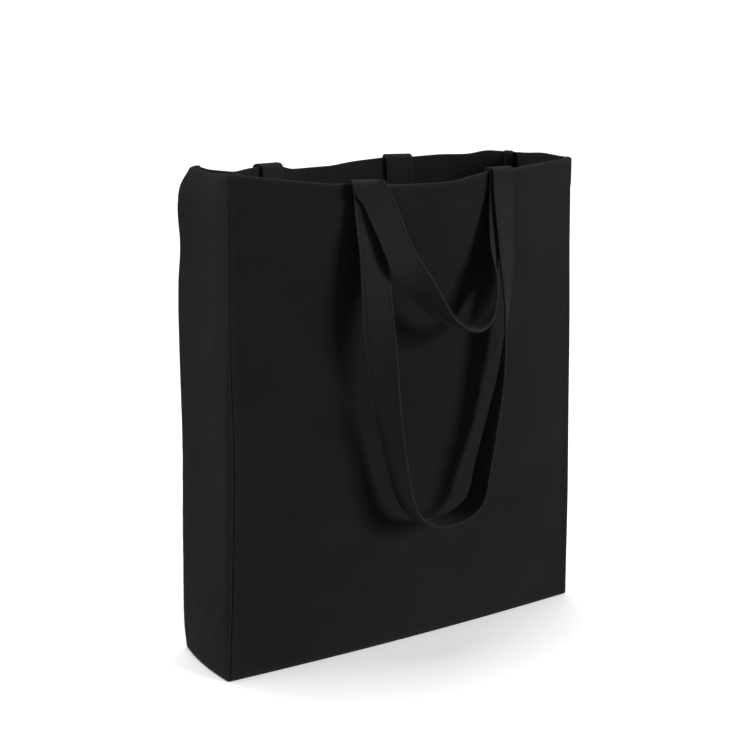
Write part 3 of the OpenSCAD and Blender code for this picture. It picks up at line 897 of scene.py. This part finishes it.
WALLS = {}
for side, word in ((FRONT, "front"), (BACK, "back")):
    WALLS[side] = wide_face(word + "_panel_cloth", side)
    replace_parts(dress(WALLS[side]["obj"], CANVAS), word + "_panel")
GUSSETS = {}
for hand, word in ((LEFT, "left"), (RIGHT, "right")):
    GUSSETS[hand] = gusset(word + "_gusset_cloth", hand)
    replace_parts(dress(GUSSETS[hand]["obj"], GUSSET_CANVAS), word + "_gusset")
BASE = base_panel()
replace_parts(dress(BASE["obj"], CANVAS), "bottom_panel")

STITCHES = {}
STITCHES["hem"] = stitches_object("hem_stitching_thread", [
    stitch_line(piece["outer"][HEM_ROW], piece["normal"][HEM_ROW])
    for piece in (*WALLS.values(), *GUSSETS.values())])
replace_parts(dress(STITCHES["hem"], THREAD), "hem_stitching")

ring_x, ring_y = HALF_W - CURL - TOPSTITCH - 0.2, HALF_D - CURL - TOPSTITCH - 0.2
ring = np.array([(-1, -1), (1, -1), (1, 1), (-1, 1), (-1, -1)]) * (ring_x, ring_y)
ring = np.concatenate([ring, np.full((5, 1), CLOTH + 0.1)], 1)
STITCHES["base"] = stitches_object("base_stitching_thread", [
    stitch_line(ring[i:i + 2], [(0, 0, 1)] * 2) for i in range(4)])
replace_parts(dress(STITCHES["base"], THREAD), "base_stitching")

COLUMN = int(np.argmin(np.abs(SEAM_STEPS - TOPSTITCH)))
for side, side_word in ((FRONT, "front"), (BACK, "back")):
    for hand, hand_word in ((LEFT, "left"), (RIGHT, "right")):
        column = COLUMN if hand == LEFT else -1 - COLUMN
        rows = slice(len(CURL_LEVELS), HEM_ROW)
        name = f"{side_word}_{hand_word}_seam_stitching"
        piece = stitches_object(name + "_thread", [stitch_line(
            WALLS[side]["outer"][rows, column], WALLS[side]["normal"][rows, column])])
        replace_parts(dress(piece, THREAD), name)
        STITCHES[name] = piece


def box_and_cross(side, x, depth, inwards):
    """Lines of a sewn box with a cross, on the inner strap or on the outside of the hem."""
    rim, outward, along = foot_frame(side, x)
    corners = {(a, b): rim + along * a * BOX_HALF + (0, 0, BOX_FOOT if b < 0 else BOX_TOP)
               - outward * depth for a in (-1, 1) for b in (-1, 1)}
    pairs = [((-1, -1), (1, -1)), ((-1, 1), (1, 1)), ((-1, -1), (-1, 1)), ((1, -1), (1, 1)),
             ((-1, -1), (1, 1)), ((-1, 1), (1, -1))]
    facing = -outward if inwards else outward
    return [stitch_line([corners[a], corners[b]], [facing] * 2, pitch=2.9) for a, b in pairs]


for side, side_word in ((FRONT, "front"), (BACK, "back")):
    for hand, hand_word in ((LEFT, "left"), (RIGHT, "right")):
        name = f"{side_word}_{hand_word}_foot_stitching"
        depth = HEM + HEM_CLEAR + 2 * STRAP_T + LAYER_GAP + 0.1
        x = foot_x(side, int(hand * -side == RIGHT))
        lines = box_and_cross(side, x, depth, True) + box_and_cross(side, x, -0.12, False)
        piece = stitches_object(name + "_thread", lines)
        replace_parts(dress(piece, THREAD), name)

# Each strap: a loop on its own body, and two sewn ends, on no body, that run from the bag to the
# loop
for side, side_word in ((FRONT, "front"), (BACK, "back")):
    for kind in ("long", "short"):
        body = f"{side_word}_{kind}"
        hinge = HINGES[body + "_swing"]
        mid, across, normal = loop_stations(side, kind)
        inside = np.flatnonzero(-mid[:, 2] >= JUNCTION)
        first, last = inside[0], inside[-1] + 1
        mid = to_world(side, mid, hinge)
        across, normal = (to_world(side, way, (0, 0, 0)) for way in (across, normal))
        part = slice(first, last)
        stations = mid[part], across[part], normal[part], np.ones(last - first)
        loop = ribbon(f"{body}_handle_cloth", *stations)
        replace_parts(dress(loop, STRAP_CLOTH, body), f"{body}_handle")
        thread = dress(edge_stitches(f"{body}_handle_thread", *stations), THREAD, body)
        for end, index, step in ((0, first, 1), (1, last - 1, -1)):
            outer = OUTER_AT[kind][end]
            # Stations of the loop beside this foot, the nearest one first
            near = slice(index, index + 2) if step > 0 else slice(index, index - 2, -1)
            x = foot_x(side, end)
            e_mid, e_across, e_normal, swell, rim, outward = sewn_end(
                side, outer, mid[near], across[near], normal[near], x)
            word = "left" if x < 0 else "right"
            stations = e_mid, e_across, e_normal, swell
            piece = ribbon(f"{body}_{word}_end_cloth", *stations)
            dress(piece, STRAP_CLOTH, None)
            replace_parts(piece, f"{body}_strap_ends")
            thread = edge_stitches(f"{body}_{word}_end_thread", *stations)
            dress(thread, THREAD, None)
            # The rim slopes at the front right foot. Each sewn end and its stitches have their
            # placement baked into their points.
            for blended in (piece, thread):
                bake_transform(blended)


# ---- Floor, light and background ----

FLOOR_REACH = 40.0
AMBIENT, BACKDROP = 0.36, 1.05                 # strength of the white world: as light, as seen


def make_floor():
    mesh = bpy.data.meshes.new("floor")
    r = FLOOR_REACH
    mesh.from_pydata([(-r, -r, 0), (r, -r, 0), (r, r, 0), (-r, r, 0)], [], [(0, 1, 2, 3)])
    floor = bpy.data.objects.new("floor", mesh)
    bpy.context.collection.objects.link(floor)
    g = Graph("floor")
    where = g.add("TexCoord").outputs["Object"]
    tone = g.span(g.noise(where, 3, 3), 0.3, 0.7, 0.785, 0.815)
    g.put(g.shader.inputs["Base Color"], g.combine(tone, tone, tone))
    g.put(g.shader.inputs["Roughness"], 0.9)
    g.put(g.shader.inputs["Emission Color"], (1, 1, 1, 1))
    g.put(g.shader.inputs["Emission Strength"], 0.32)
    mesh.materials.append(g.material)
    floor.visible_diffuse = False
    floor.visible_glossy = False


def make_sun(name, azimuth, elevation, strength, spread):
    """Distant light from an azimuth (0 is the front, 90 the right) and an elevation."""
    a, e = math.radians(azimuth), math.radians(elevation)
    from_way = Vector((math.sin(a) * math.cos(e), -math.cos(a) * math.cos(e), math.sin(e)))
    light = bpy.data.lights.new(name, "SUN")
    light.energy, light.angle = strength, math.radians(spread)
    obj = bpy.data.objects.new(name, light)
    obj.rotation_mode = "QUATERNION"
    obj.rotation_quaternion = from_way.to_track_quat("Z", "Y")
    bpy.context.collection.objects.link(obj)


def make_world():
    world = bpy.data.worlds.new("studio")
    bpy.context.scene.world = world
    world.use_nodes = True
    nodes, links = world.node_tree.nodes, world.node_tree.links
    shade = nodes["Background"]
    shade.inputs[0].default_value = (1, 1, 1, 1)
    seen = nodes.new("ShaderNodeLightPath")
    power = nodes.new("ShaderNodeMapRange")
    links.new(seen.outputs["Is Camera Ray"], power.inputs[0])
    power.inputs[3].default_value, power.inputs[4].default_value = AMBIENT, BACKDROP
    links.new(power.outputs[0], shade.inputs[1])


make_floor()
make_world()
make_sun("key", 32, 15, 3.2, 21)
make_sun("overhead", 180, 80, 2.0, 30)
make_sun("left", -107, 1, 2.9, 10)
bpy.context.scene.view_settings.view_transform = "Standard"
